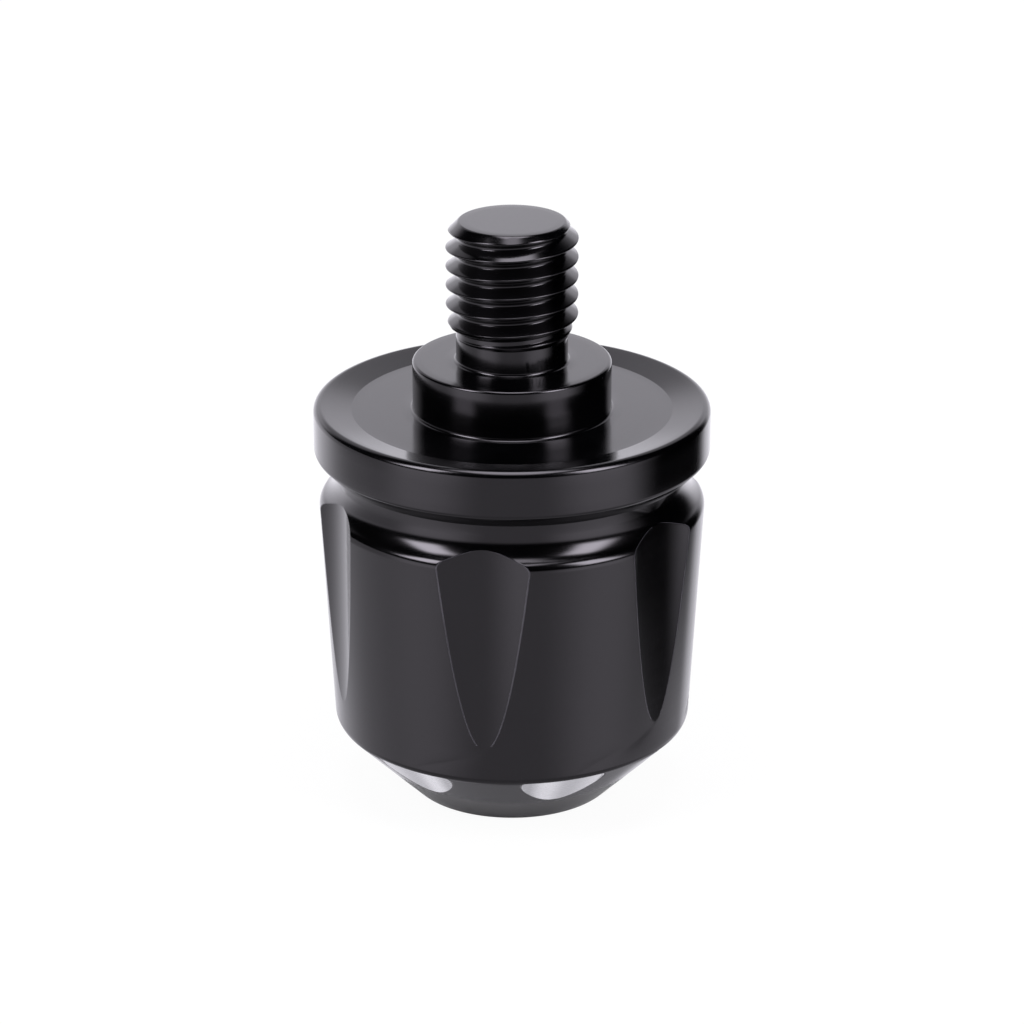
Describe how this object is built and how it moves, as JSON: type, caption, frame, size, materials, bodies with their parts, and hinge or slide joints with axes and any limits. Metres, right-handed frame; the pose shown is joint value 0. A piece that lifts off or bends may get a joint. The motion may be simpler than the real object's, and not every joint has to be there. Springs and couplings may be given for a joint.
{
  "type": "bar end weight",
  "caption": "Turned handlebar end weight with a threaded stud, a centring collar, a seat flange, shallow flutes down its wall and bare flats round its coned nose.",
  "frame": {"origin": "centre of the flat nose end, on which the part stands", "axes": "+Z along the part's axis from the nose end to the threaded stud, -Y through the middle of one flute"},
  "size_m": [0.036, 0.036, 0.0545],
  "materials": {
    "black_anodised": "satin black anodised, with the nose flats cut back to bare brushed metal"
  },
  "bodies": {
    "root": {"bar_end_weight": "black_anodised"}
  },
  "joints": []
}
